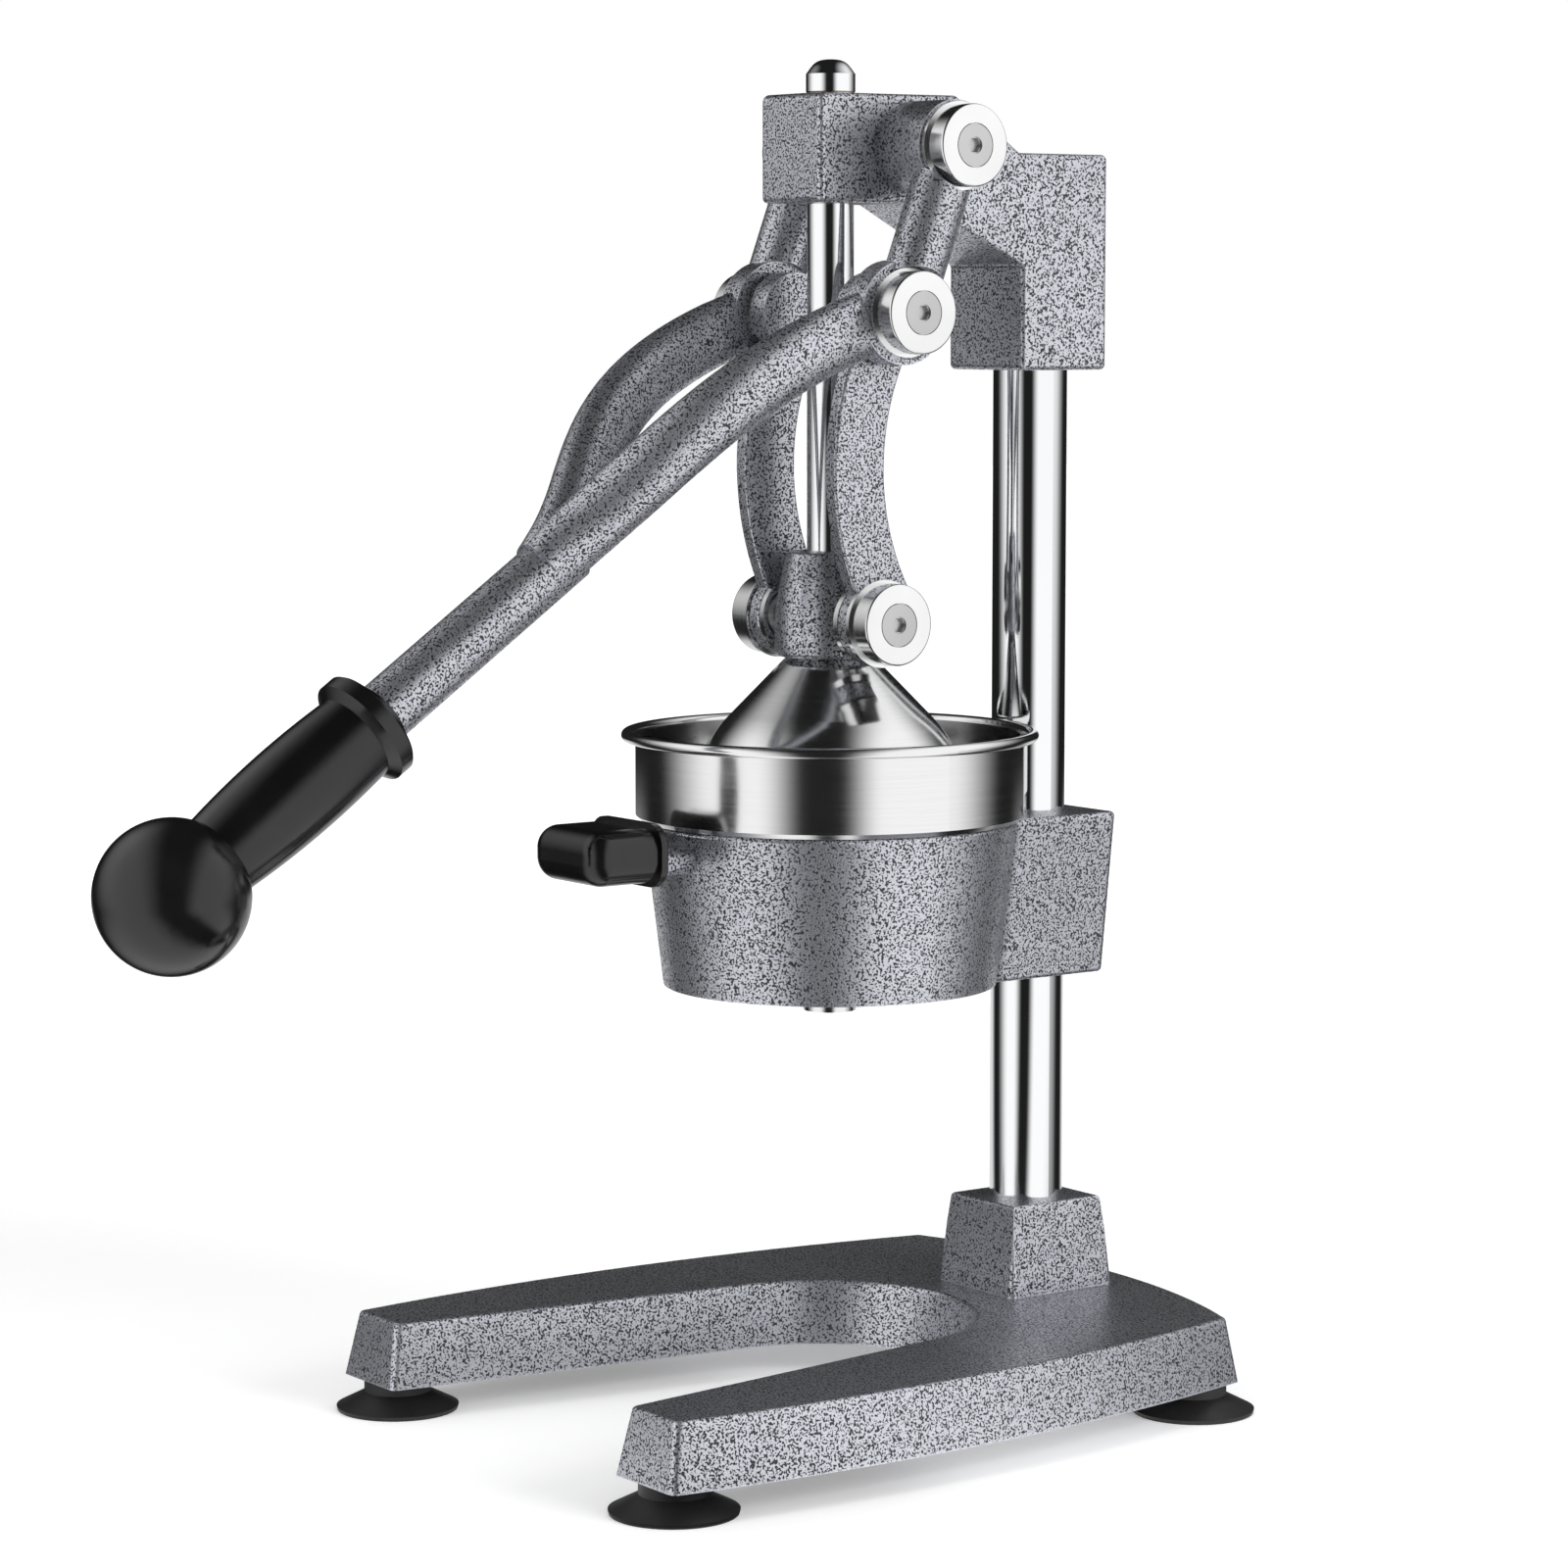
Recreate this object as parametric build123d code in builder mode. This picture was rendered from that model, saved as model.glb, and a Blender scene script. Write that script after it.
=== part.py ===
from build123d import *
import math
import os

# Lever citrus juice press: a horseshoe stand with a column, a head that guides the press rod,
# a forked lever whose two links push the rod down, and a strainer cup held over the glass bay.
# Millimetres. +Z is up, the open side of the base and the handle face -Y, the column is at +Y.
# The origin is on the counter, straight below the axis of the press rod.

os.makedirs("parts", exist_ok=True)

# ---------------------------------------------------------------- driving dimensions
# stand
foot_h = 9.0                  # underside of the base above the counter
base_thk = 19.0
base_draft = 10.4             # degrees, sides of the base
leg_front_y = -115.2          # underside outline of the base
leg_outer_x = 86.4
leg_inner_x = 58.0
side_bulge_x = 92.0
side_bulge_y = -48.0
rear_corner_x = 77.2
rear_corner_behind = 18.5     # rear corners and middle of the base, behind the column's axis
rear_mid_behind = 34.0
bay_r = 42.3
bay_y = -3.0
base_edge_r = 1.2
base_corner_r = 2.5
pocket_wall = 7.0             # cast pocket under the base
pocket_depth = 10.0
socket_h = 27.0               # tapered socket that holds the column
socket_half_x = 18.2
socket_half_y = 19.6
socket_draft = 6.4
socket_corner_r = 2.0
column_floor = 8.0            # metal left under the column

# column and its bolt
column_d = 22.0
column_y = 74.0
column_in_head = 5.3          # column's top above the head's underside
column_chamfer = 0.8
bolt_d = 10.0
bolt_grip = 26.0              # thread inside the column
bolt_head_d = 16.0
bolt_head_h = 6.0
bolt_hex = 8.0
bolt_hex_deep = 4.0
bolt_end_gap = 2.0            # free thread beyond the bolt's end
washer_d = 22.0
washer_thk = 2.0
hole_play = 0.5               # radial play of a clearance hole
over = 1.0                    # how far a cut runs past the face that it opens

# suction feet
suction_r = 18.0
suction_lip = 1.2
suction_neck_r = 9.8
suction_cone_h = 5.4
suction_hollow = 4.0
suction_skin = 1.5            # rubber left between the hollow and the stud
stud_d = 6.0
stud_up = 9.0                 # stud length inside the base
front_foot_behind = 10.2      # front feet behind the legs' ends
rear_foot_inset = 9.2         # rear feet inside the rear corners
rear_foot_behind = 8.8        # rear feet behind the column's axis
foot_boss_r = 10.5

# head
head_half_x = 14.6            # half width at the rod
head_rear_half_x = 17.8       # half width at the column
head_under_z = 352.7          # underside of the head at the rod: sets the height of the press
head_h = 31.0
head_front_y = -14.3
rear_rise = 15.0              # rear block's top above the head's underside, and its foot below
rear_drop = 48.2
rear_wall = 14.8              # rear block behind and before the column's axis
rear_front_wall = 17.0
gusset_y = 21.3               # where the underside starts to slope
gusset_drop = 17.5
shoulder_y = 33.0             # where the top starts to slope
shoulder_foot_y = 56.0
widen_start_y = 11.3          # where the head starts and stops getting wider
widen_end_y = 41.0
head_corner_r = 2.2
head_edge_r = 1.6

# pivots and the rod
pivot_y = 18.5                # fixed pivot of the lever on the head
pivot_rise = 15.8             # above the head's underside
knee_ahead = 18.0             # knee, lever to link: ahead of the pivot and below it
knee_drop = 47.0
ankle_y, ankle_z = 0.0, 233.0         # ankle, link to press
shaft_d = 10.0                # fixed pivot shaft
pin_d = 9.0                   # knee and ankle pins
bush_wall = 2.0
run_clear = 0.05              # radial clearance of a running fit
face_clear = 0.10             # clearance between faces that turn on each other

rod_d = 13.5
rod_bush_wall = 2.0
rod_bush_len = 12.0
rod_spigot_d = 8.0
end_cap_d = 14.2
end_cap_cyl = 5.4
end_cap_dome = 4.2
end_cap_edge = 0.4
end_cap_crown = (0.32, 0.74)  # point of the dome: share of the diameter, share of the dome's height
end_cap_gap = 0.4             # between the cap and the head when the press is down

# lever fork
arm_in_x = 26.9               # inner face of the fork bosses
arm_out_x = 34.9
pivot_boss_r = 13.2
knee_boss_r = 14.8
bar_r = 8.5                   # round bar between the bosses, proud of their outer faces
bar_mid_x = 33.4
spot_r = 13.0                 # spot face that the bar leaves round each cap
knee_ring_r = 10.6
handle_ahead = 91.3           # start of the round shaft, ahead of the knee and below it
handle_drop = 66.1
handle_slope = 34.9           # degrees below horizontal at rest
arm_sections = (
    # ahead of the knee, below it, share of the fork's half spread, half thickness, half width
    (-1.5, 0.5, 1.0, 3.8, 8.8),
    (14.5, 4.3, 1.0, 4.4, 9.4),
    (39.3, 15.2, 0.955, 6.4, 9.6),
    (58.9, 28.5, 0.795, 7.4, 9.7),
    (73.7, 43.3, 0.505, 7.8, 9.8),
    (87.5, 58.8, 0.160, 7.9, 9.6),
    (98.5, 69.9, 0.035, 8.0, 8.8),
)
handle_d = 17.3
handle_visible = 74.0         # from that point to the grip
spigot_d = 11.0
spigot_len = 84.0

# handle grip
grip_collar_r = 16.0
grip_collar_len = 7.0
grip_nose = 3.0
grip_lead = 1.0               # wall of the grip where it meets the shaft
grip_lead_round = 0.8
grip_step = 2.0               # slope behind the collar
grip_belly = 0.55             # share of the body's length where it is thickest
grip_neck_r = 12.0
grip_body_r = 13.6
grip_ball_r = 21.2
grip_ball_at = 78.6           # ball centre from the grip's upper end

# links
link_in_x = 19.2
link_out_x = 24.5
link_w = 17.6
link_bow = 7.7                # how far the bar bows forward of the line between its eyes
link_bow_r = 79.0
knee_eye_r = 11.5
knee_eye_in_x = 17.4
knee_skin = 1.4               # metal left over the blind bore of the upper eye
ankle_eye_r = 11.8
link_edge_r = 0.9
ankle_ring_r = 11.6
ankle_ring_thk = 2.0

# caps and their screws
cap_r = 11.7
cap_body = 7.3
flange_r = 12.6
flange_thk = 1.5
cap_edge = 0.7
cap_disc_d = 12.2
cap_disc_thk = 2.4
cap_disc_gap = 0.25
cap_hex = 4.0
cap_hex_deep = 1.8
cap_hex_lead = (4.9, 0.5)     # round lead-in of the hex: diameter and depth
cap_screw_d = 5.0
cap_screw_grip = 3.5

# hub and press cone
hub_rise = 19.7               # hub's top and underside from the ankle
hub_drop = 10.7
hub_top_r = 12.4
hub_mid_r = 15.3
hub_mid_rise = 6.0
hub_foot_r = 16.1
hub_foot_h = 3.0
hub_foot_draft = 0.3
hub_edge_r = 1.4
cross_pin_d = 8.0
trunnion_d = 15.4
trunnion_seat = 13.6          # |x| of the flat that each collar sits on
cone_top_r = 12.5
cone_knee_r = 28.7            # end of the straight flank, each drop from the hub's underside
cone_knee_drop = 16.7
cone_skirt_r = 37.0
cone_skirt_drop = 27.8
cone_rim_r = 44.0
cone_rim_drop = 50.8
cone_rim_lean = 0.15          # outward run of the skirt at the rim for each unit down
cone_wall = 2.0
nut_af = 13.0
nut_h = 5.0

# bowl holder
bowl_top_z = 174.9            # sets the height of the bowl, the cup, the reamer and the grip
bowl_h = 48.4
bowl_top_r = 54.7
bowl_under_r = 48.7
bowl_wall = 4.4
bowl_floor = 4.0
bowl_edge_r = 2.4
clamp_top_drop = 2.5          # below the bowl's rim
clamp_h = 48.6
clamp_top_half = 19.3
clamp_under_half = 16.6
clamp_bury = 0.4              # how far the round of the clamp stays inside the bowl's wall
clamp_blend_r = 9.0
clamp_corner_r = 2.5
clamp_edge_r = 1.4
clamp_step_y = 44.0           # the clamp block stands proud below from here back
spout_r = 7.8
spout_wall = 1.2
spout_len = 8.0               # below the bowl
funnel_wall = 1.0
funnel_gap = 0.3
funnel_h = 17.0
funnel_foot_r = 20.0

# strainer cup and reamer
cup_wall_r = 56.7
cup_thk = 1.2
cup_bead_rise = 24.5          # centre of the rolled rim above the bowl
cup_bead_r = 1.6
cup_flare_drops = (1.2, 0.8)  # flare into the rim, where it starts and ends, in bead radii
cup_rim_r = 60.8
cup_shoulder_r = 1.4
cup_floor_drop = 16.9         # below the bowl's rim
cup_floor_hole_r = 33.0
cup_gap = 0.3
strain_ring_r = 42.5
strain_count = 30
strain_hole_r = 1.5
reamer_foot_r = 38.0
reamer_base_r = 34.0          # half of an egg shape this wide and this high
reamer_h = 43.0
reamer_wall = 1.2
reamer_ribs = 12
rib_proud = 1.6
rib_w = 2.4
crown_r = 9.0                 # smooth crown, where the ribs end
slot_w = 2.2
slot_low = 7.0                # slots between the ribs, heights above the reamer's foot
slot_high = 28.0

# counter-hold grip on the bowl
hold_half_x = 16.9
hold_ahead = 14.4             # grip's rear face ahead of the bowl's rim
hold_len = 24.2
hold_h = 15.7
hold_drop = 4.9               # grip's middle below the bowl's rim
hold_corner_r = 6.6
hold_flange = 1.2
hold_flange_thk = 2.4
stub_half_x = 7.5
stub_drop = 4.3               # stub's top below the bowl's rim
stub_h = 8.0
stub_round_r = 3.0
tenon_half_x = 5.0
tenon_half_z = 2.6
tenon_round_r = 1.5
tenon_len = 12.0
hold_nose_r = 6.2

# set screws
set_screw_d = 8.0
set_screw_len = 5.5
set_hex = 4.0
head_screw_drops = (30.7, 6.7)        # below the head's underside
clamp_screw_drops = (38.9, 13.9)      # below the bowl's rim
hub_screw_d = 5.0
hub_screw_rise = 13.0                 # above the ankle
hub_screw_hex_deep = 2.0
hub_screw_sunk = 2.0                  # below the hub's widest radius

# ---------------------------------------------------------------- derived places
base_top_z = foot_h + base_thk
rear_corner_y = column_y + rear_corner_behind
rear_mid_y = column_y + rear_mid_behind
front_foot_x = (leg_inner_x + leg_outer_x) / 2
front_foot_y = leg_front_y + front_foot_behind
rear_foot_x = rear_corner_x - rear_foot_inset
rear_foot_y = column_y + rear_foot_behind

head_top_z = head_under_z + head_h
rear_top_z = head_under_z + rear_rise
rear_under_z = head_under_z - rear_drop
gusset_foot_z = head_under_z - gusset_drop
rear_front_y = column_y - rear_front_wall
head_rear_y = column_y + rear_wall
column_low_z = foot_h + pocket_depth + column_floor
column_top_z = head_under_z + column_in_head
head_screw_z = [head_under_z - drop for drop in head_screw_drops]

pivot_z = head_under_z + pivot_rise
knee_y, knee_z = pivot_y - knee_ahead, pivot_z - knee_drop
hub_top_z = ankle_z + hub_rise
hub_mid_z = ankle_z + hub_mid_rise
hub_under_z = ankle_z - hub_drop
hub_screw_z = ankle_z + hub_screw_rise
cone_knee_z = hub_under_z - cone_knee_drop
cone_skirt_z = hub_under_z - cone_skirt_drop
cone_rim_z = hub_under_z - cone_rim_drop

bowl_under_z = bowl_top_z - bowl_h
clamp_top_z = bowl_top_z - clamp_top_drop
clamp_under_z = clamp_top_z - clamp_h
clamp_screw_z = [bowl_top_z - drop for drop in clamp_screw_drops]
cup_bead_z = bowl_top_z + cup_bead_rise
cup_floor_z = bowl_top_z - cup_floor_drop
stub_mid_z = bowl_top_z - stub_drop - stub_h / 2
hold_mid_z = bowl_top_z - hold_drop
hold_rear_y = -bowl_top_r - hold_ahead

ends = (("left", -1), ("right", 1))
handle_dir = Vector(0, -math.cos(math.radians(handle_slope)), -math.sin(math.radians(handle_slope)))
handle_origin = Vector(0, knee_y - handle_ahead, knee_z - handle_drop)
feet = {
    "front_left": (-front_foot_x, front_foot_y),
    "front_right": (front_foot_x, front_foot_y),
    "rear_left": (-rear_foot_x, rear_foot_y),
    "rear_right": (rear_foot_x, rear_foot_y),
}


def finish(builder, name):
    """Label a finished piece and write it."""
    builder.part.label = name
    export_step(builder.part, f"parts/{name}.step")


def side_plane(side, x, y, z):
    """Plane square to the X axis at |x|, facing away from the middle of the press."""
    return Plane(origin=(side * x, y, z), x_dir=(0, side, 0), z_dir=(side, 0, 0))


def front_plane(y, z):
    """Plane square to the Y axis that faces the user."""
    return Plane(origin=(0, y, z), x_dir=(1, 0, 0), z_dir=(0, -1, 0))


def handle_plane(along):
    """Plane square to the handle's axis, this far down from its reference point."""
    return Plane(origin=handle_origin + handle_dir * along, x_dir=(1, 0, 0), z_dir=handle_dir)


def flat_distance(one, other):
    """Distance of two points seen from above."""
    return math.hypot(one.X - other.X, one.Y - other.Y)


def base_outline():
    """Underside outline of the horseshoe: bowed sides, a bowed back and a round glass bay."""
    reach = math.hypot(leg_inner_x, leg_front_y - bay_y)
    bearing = math.atan2(leg_front_y - bay_y, leg_inner_x) + math.acos(bay_r / reach)
    touch = (bay_r * math.cos(bearing), bay_y + bay_r * math.sin(bearing))
    with BuildLine() as half:
        Line((leg_inner_x, leg_front_y), (leg_outer_x, leg_front_y))
        ThreePointArc(
            (leg_outer_x, leg_front_y), (side_bulge_x, side_bulge_y), (rear_corner_x, rear_corner_y)
        )
        Line(touch, (leg_inner_x, leg_front_y))
    with BuildLine() as whole:
        add(half.line)
        mirror(half.line, about=Plane.YZ)
        ThreePointArc((rear_corner_x, rear_corner_y), (0, rear_mid_y), (-rear_corner_x, rear_corner_y))
        ThreePointArc((-touch[0], touch[1]), (0, bay_y + bay_r), touch)
    return whole.edges()


# ---------------------------------------------------------------- base casting
with BuildPart() as base:
    with BuildSketch(Plane.XY.offset(foot_h)):
        make_face(base_outline())
    with BuildSketch(Plane.XY.offset(base_top_z)):
        make_face(base_outline())
        offset(amount=-base_thk * math.tan(math.radians(base_draft)), mode=Mode.REPLACE)
    loft(ruled=True)
    # the upright corners are rounded, but not the smooth joints between the legs and the bay
    bay_axis = Vector(0, bay_y)
    upright = base.edges().filter_by(lambda e: abs(e.tangent_at(0.5).Z) > 0.8)
    fillet([e for e in upright if flat_distance(e.center(), bay_axis) > bay_r + base_thk], base_corner_r)
    fillet(base.faces().sort_by(Axis.Z)[-1].edges(), base_edge_r)
    # the socket stands on the rear of the base
    with BuildSketch(Plane.XY.offset(base_top_z)):
        with Locations((0, column_y)):
            RectangleRounded(2 * socket_half_x, 2 * socket_half_y, socket_corner_r)
    extrude(amount=socket_h, taper=socket_draft)
    fillet(base.faces().sort_by(Axis.Z)[-1].edges(), base_edge_r)
    # pocket that lightens the casting from below, with bosses left for the feet and the column
    with BuildSketch(Plane.XY.offset(foot_h)):
        make_face(base_outline())
        offset(amount=-pocket_wall, mode=Mode.REPLACE)
        with Locations(*feet.values()):
            Circle(foot_boss_r, mode=Mode.SUBTRACT)
        with Locations((0, column_y)):
            Rectangle(2 * socket_half_x, 2 * socket_half_y, mode=Mode.SUBTRACT)
    extrude(amount=pocket_depth, mode=Mode.SUBTRACT)
    # column bore from above, bolt hole and washer seat from below
    with Locations((0, column_y, base_top_z + socket_h)):
        Hole(column_d / 2, depth=base_top_z + socket_h - column_low_z)
    with Locations(Plane(origin=(0, column_y, foot_h), z_dir=(0, 0, -1))):
        CounterBoreHole(
            bolt_d / 2 + hole_play, washer_d / 2 + hole_play, pocket_depth, depth=column_low_z - foot_h
        )
    with Locations(*[Plane(origin=(x, y, foot_h), z_dir=(0, 0, -1)) for x, y in feet.values()]):
        Hole(stud_d / 2, depth=stud_up)
finish(base, "base_casting")

# ---------------------------------------------------------------- suction feet and their studs
stud_low_z = suction_hollow + suction_skin
for where, (foot_x, foot_y) in feet.items():
    with BuildPart() as foot:
        with BuildSketch(Plane.XZ):
            with BuildLine():
                Polyline(
                    (0, suction_hollow), (0, foot_h), (suction_neck_r, foot_h),
                    (suction_neck_r, suction_cone_h), (suction_r, suction_lip),
                    (suction_r - suction_lip / 4, 0), (suction_r - suction_lip, 0),
                    (suction_neck_r - suction_skin, suction_hollow), close=True,
                )
            make_face()
        revolve(axis=Axis.Z)
        with Locations((0, 0, foot_h)):
            Hole(stud_d / 2, depth=foot_h - stud_low_z)
    foot.part.locate(Location((foot_x, foot_y, 0)))
    finish(foot, f"suction_foot_{where}")

with BuildPart() as studs:
    with BuildSketch(Plane.XY.offset(stud_low_z)):
        with Locations(*feet.values()):
            Circle(stud_d / 2)
    extrude(amount=foot_h + stud_up - stud_low_z)
finish(studs, "foot_studs")

# ---------------------------------------------------------------- column, its bolt and washer
with BuildPart() as column:
    with BuildSketch(Plane.XY.offset(column_low_z)):
        with Locations((0, column_y)):
            Circle(column_d / 2)
    extrude(amount=column_top_z - column_low_z)
    chamfer(column.edges().filter_by(GeomType.CIRCLE), column_chamfer)
    with Locations(Plane(origin=(0, column_y, column_low_z), z_dir=(0, 0, -1))):
        Hole(bolt_d / 2, depth=bolt_grip)
finish(column, "column")

bolt_seat_z = foot_h + pocket_depth
with BuildPart() as washer:
    with BuildSketch(Plane.XY.offset(bolt_seat_z - washer_thk)):
        with Locations((0, column_y)):
            Circle(washer_d / 2)
            Circle(bolt_d / 2 + hole_play, mode=Mode.SUBTRACT)
    extrude(amount=washer_thk)
finish(washer, "column_washer")

with BuildPart() as bolt:
    with BuildSketch(Plane.XY.offset(bolt_seat_z - washer_thk - bolt_head_h)):
        with Locations((0, column_y)):
            Circle(bolt_head_d / 2)
    extrude(amount=bolt_head_h)
    with BuildSketch(Plane.XY.offset(bolt_seat_z - washer_thk)):
        with Locations((0, column_y)):
            Circle(bolt_d / 2)
    extrude(amount=washer_thk + column_floor + bolt_grip - bolt_end_gap)
    with BuildSketch(Plane.XY.offset(bolt_seat_z - washer_thk - bolt_head_h)):
        with Locations((0, column_y)):
            RegularPolygon(bolt_hex / 2, 6, major_radius=False)
    extrude(amount=bolt_hex_deep, mode=Mode.SUBTRACT)
finish(bolt, "column_bolt")

# ---------------------------------------------------------------- head casting
with BuildPart() as head:
    with BuildSketch(Plane.YZ):
        with BuildLine():
            Polyline(
                (head_front_y, head_under_z), (gusset_y, head_under_z), (rear_front_y, gusset_foot_z),
                (rear_front_y, rear_under_z), (head_rear_y, rear_under_z), (head_rear_y, rear_top_z),
                (shoulder_foot_y, rear_top_z), (shoulder_y, head_top_z), (head_front_y, head_top_z),
                close=True,
            )
        side_shape = make_face()
        fillet(side_shape.vertices().sort_by(Axis.Y)[-2:], head_corner_r)
    extrude(amount=head_rear_half_x, both=True)
    with BuildSketch(Plane.XY.offset(rear_under_z - over)):
        with BuildLine():
            Polyline(
                (head_half_x, head_front_y), (head_half_x, widen_start_y), (head_rear_half_x, widen_end_y),
                (head_rear_half_x, head_rear_y), (-head_rear_half_x, head_rear_y),
                (-head_rear_half_x, widen_end_y), (-head_half_x, widen_start_y),
                (-head_half_x, head_front_y), close=True,
            )
        make_face()
    extrude(amount=head_top_z - rear_under_z + 2 * over, mode=Mode.INTERSECT)
    fillet(head.edges(), head_edge_r)
    # rod bore with its two bush seats, pivot bore, column bore and set screw holes
    with Locations((0, 0, head_top_z)):
        Hole(rod_d / 2 + rod_bush_wall)
    with BuildSketch(Plane.YZ):
        with Locations((pivot_y, pivot_z)):
            Circle(shaft_d / 2)
    extrude(amount=head_rear_half_x + over, both=True, mode=Mode.SUBTRACT)
    with Locations(Plane(origin=(0, column_y, rear_under_z), z_dir=(0, 0, -1))):
        Hole(column_d / 2, depth=column_top_z - rear_under_z)
    with Locations(*[Plane(origin=(0, head_rear_y, z), z_dir=(0, 1, 0)) for z in head_screw_z]):
        Hole(set_screw_d / 2, depth=head_rear_y - column_y)
finish(head, "head_casting")


def column_screws(heights):
    """Hollow-hex set screws that bear on the back of the column at these heights."""
    with BuildPart() as screws:
        for z in heights:
            seat = Plane(origin=(0, column_y + column_d / 2, z), z_dir=(0, 1, 0))
            with BuildSketch(seat):
                Circle(set_screw_d / 2)
            extrude(amount=set_screw_len)
            with BuildSketch(seat.offset(set_screw_len)):
                RegularPolygon(set_hex / 2, 6, major_radius=False)
            extrude(amount=-set_screw_len / 2, mode=Mode.SUBTRACT)
    return screws


finish(column_screws(head_screw_z), "head_set_screws")

for which, low_z in (("upper", head_top_z - rod_bush_len), ("lower", head_under_z)):
    with BuildPart() as rod_bush:
        with BuildSketch(Plane.XY.offset(low_z)):
            Circle(rod_d / 2 + rod_bush_wall)
            Circle(rod_d / 2 + run_clear, mode=Mode.SUBTRACT)
        extrude(amount=rod_bush_len)
    finish(rod_bush, f"rod_bush_{which}")


# ---------------------------------------------------------------- caps, screws and rings on the pivots
def ring(side, near_x, far_x, y, z, outer_r, inner_r):
    """Plain ring or bush along X between two distances from the middle."""
    with BuildPart() as piece:
        with BuildSketch(side_plane(side, near_x, y, z)):
            Circle(outer_r)
            Circle(inner_r, mode=Mode.SUBTRACT)
        extrude(amount=far_x - near_x)
    return piece


def pivot_cap(side, near_x, y, z):
    """Turned cap with a flange, a bore for its screw and a recess for the screw's disc head."""
    with BuildPart() as piece:
        with BuildSketch(side_plane(side, near_x, y, z)):
            Circle(flange_r)
        extrude(amount=flange_thk)
        with BuildSketch(side_plane(side, near_x + flange_thk, y, z)):
            Circle(cap_r)
        extrude(amount=cap_body)
        rims = piece.edges().filter_by(GeomType.CIRCLE).group_by(Axis.X)
        fillet(rims[-1] if side > 0 else rims[0], cap_edge)
        with Locations(side_plane(side, near_x + flange_thk + cap_body, y, z)):
            CounterBoreHole(
                cap_screw_d / 2, cap_disc_d / 2 + cap_disc_gap, cap_disc_thk, depth=flange_thk + cap_body
            )
    return piece


def cap_screws(near_x, y, z):
    """A pair of disc-head screws, one through the cap at each end of a pin."""
    face_x = near_x + flange_thk + cap_body
    with BuildPart() as pair:
        for _, side in ends:
            with BuildSketch(side_plane(side, face_x - cap_disc_thk, y, z)):
                Circle(cap_disc_d / 2)
            extrude(amount=cap_disc_thk)
            with BuildSketch(side_plane(side, near_x - cap_screw_grip, y, z)):
                Circle(cap_screw_d / 2)
            extrude(amount=cap_screw_grip + flange_thk + cap_body - cap_disc_thk)
            with BuildSketch(side_plane(side, face_x - cap_hex_deep, y, z)):
                RegularPolygon(cap_hex / 2, 6, major_radius=False)
            extrude(amount=cap_hex_deep, mode=Mode.SUBTRACT)
            with BuildSketch(side_plane(side, face_x - cap_hex_lead[1], y, z)):
                Circle(cap_hex_lead[0] / 2)
            extrude(amount=cap_hex_lead[1], mode=Mode.SUBTRACT)
    return pair


def tapped_pin(side, near_x, far_x, y, z):
    """Pin along X with a tapped hole in its outer end."""
    with BuildPart() as piece:
        with BuildSketch(side_plane(side, near_x, y, z)):
            Circle(pin_d / 2)
        extrude(amount=far_x - near_x)
        with Locations(side_plane(side, far_x, y, z)):
            Hole(cap_screw_d / 2, depth=cap_screw_grip + hole_play)
    return piece


pivot_cap_x = arm_out_x + face_clear
with BuildPart() as pivot_shaft:
    with BuildSketch(Plane.YZ):
        with Locations((pivot_y, pivot_z)):
            Circle(shaft_d / 2)
    extrude(amount=pivot_cap_x, both=True)
    with Locations(*[side_plane(side, pivot_cap_x, pivot_y, pivot_z) for _, side in ends]):
        Hole(cap_screw_d / 2, depth=cap_screw_grip + hole_play)
finish(pivot_shaft, "pivot_shaft")
finish(cap_screws(pivot_cap_x, pivot_y, pivot_z), "pivot_cap_screws")

bush_r = shaft_d / 2 + run_clear + bush_wall
knee_bush_r = pin_d / 2 + run_clear + bush_wall
knee_pin_x = knee_eye_in_x + knee_skin + hole_play
for name, side in ends:
    # spacer between the head and the lever, shaped to the head's side
    with BuildPart() as spacer:
        with BuildSketch(side_plane(side, head_half_x, pivot_y, pivot_z)):
            Circle(pivot_boss_r)
            Circle(shaft_d / 2, mode=Mode.SUBTRACT)
        extrude(amount=arm_in_x - face_clear - head_half_x)
        add(head.part, mode=Mode.SUBTRACT)
    finish(spacer, f"pivot_spacer_{name}")
    finish(pivot_cap(side, pivot_cap_x, pivot_y, pivot_z), f"pivot_cap_{name}")
    # lever bush on the fixed shaft, and the knee pin that the lever carries
    finish(
        ring(side, arm_in_x, arm_out_x, pivot_y, pivot_z, bush_r, shaft_d / 2 + run_clear),
        f"lever_bush_{name}",
    )
    finish(tapped_pin(side, knee_pin_x, arm_out_x, knee_y, knee_z), f"knee_pin_{name}")
    finish(
        ring(side, link_out_x + face_clear, arm_in_x, knee_y, knee_z, knee_ring_r, pin_d / 2),
        f"knee_ring_{name}",
    )
    finish(pivot_cap(side, arm_out_x, knee_y, knee_z), f"knee_cap_{name}")
    # bush in the link's upper eye, and the stub pin and cap of its lower eye
    finish(
        ring(side, knee_eye_in_x + knee_skin, link_out_x, knee_y, knee_z, knee_bush_r, pin_d / 2 + run_clear),
        f"link_bush_{name}",
    )
    finish(tapped_pin(side, link_in_x, link_out_x, ankle_y, ankle_z), f"ankle_pin_{name}")
    finish(pivot_cap(side, link_out_x, ankle_y, ankle_z), f"ankle_cap_{name}")
finish(cap_screws(arm_out_x, knee_y, knee_z), "knee_cap_screws")
finish(cap_screws(link_out_x, ankle_y, ankle_z), "ankle_cap_screws")

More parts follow.
